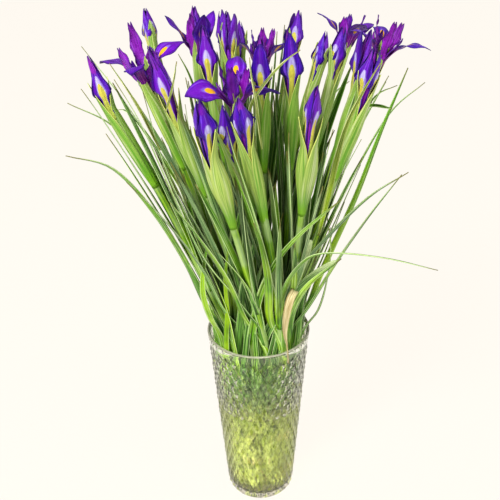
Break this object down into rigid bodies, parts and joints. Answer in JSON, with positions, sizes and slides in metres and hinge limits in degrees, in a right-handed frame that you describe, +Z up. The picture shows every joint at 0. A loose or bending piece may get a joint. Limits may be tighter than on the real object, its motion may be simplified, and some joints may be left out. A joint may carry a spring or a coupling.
{
  "type": "irises in a vase",
  "caption": "Cut irises with slender green stems, narrow leaves and violet buds and blooms, standing in water in a tall cut-glass vase.",
  "frame": {"origin": "centre of the vase's foot, on the surface it stands on", "axes": "+Z up, -Y towards the front of the bunch"},
  "size_m": [0.293, 0.296, 0.4895],
  "materials": {
    "glass": "clear cut glass, polished",
    "water": "clear water, a little green",
    "foliage": "fresh green stems, sheaths and leaves, satin",
    "petals": "deep violet petals, velvety"
  },
  "bodies": {
    "root": {"vase": "glass", "water": "water", "iris_01_green": "foliage", "iris_01_bloom": "petals", "iris_02_green": "foliage", "iris_02_bloom": "petals", "iris_03_green": "foliage", "iris_03_bud": "petals", "iris_04_green": "foliage", "iris_04_bloom": "petals", "iris_05_green": "foliage", "iris_05_bloom": "petals", "iris_06_green": "foliage", "iris_06_bloom": "petals", "iris_07_green": "foliage", "iris_07_bloom": "petals", "iris_08_green": "foliage", "iris_08_bloom": "petals", "iris_09_green": "foliage", "iris_09_bud": "petals", "iris_10_green": "foliage", "iris_10_bloom": "petals", "iris_11_green": "foliage", "iris_11_bloom": "petals", "iris_12_green": "foliage", "iris_12_bloom": "petals", "iris_13_green": "foliage", "iris_13_bud": "petals", "iris_14_green": "foliage", "iris_14_bloom": "petals", "iris_15_green": "foliage", "iris_15_bloom": "petals", "iris_16_green": "foliage", "iris_16_bloom": "petals", "iris_17_green": "foliage", "iris_17_bud": "petals", "iris_18_green": "foliage", "iris_18_bloom": "petals", "iris_19_green": "foliage", "iris_19_bud": "petals", "iris_20_green": "foliage", "iris_20_bloom": "petals", "iris_21_green": "foliage", "iris_21_bloom": "petals", "iris_22_green": "foliage", "iris_22_bloom": "petals", "iris_23_green": "foliage", "iris_23_bloom": "petals", "iris_24_green": "foliage", "iris_24_bud": "petals", "iris_25_green": "foliage", "iris_25_bloom": "petals"}
  },
  "joints": []
}
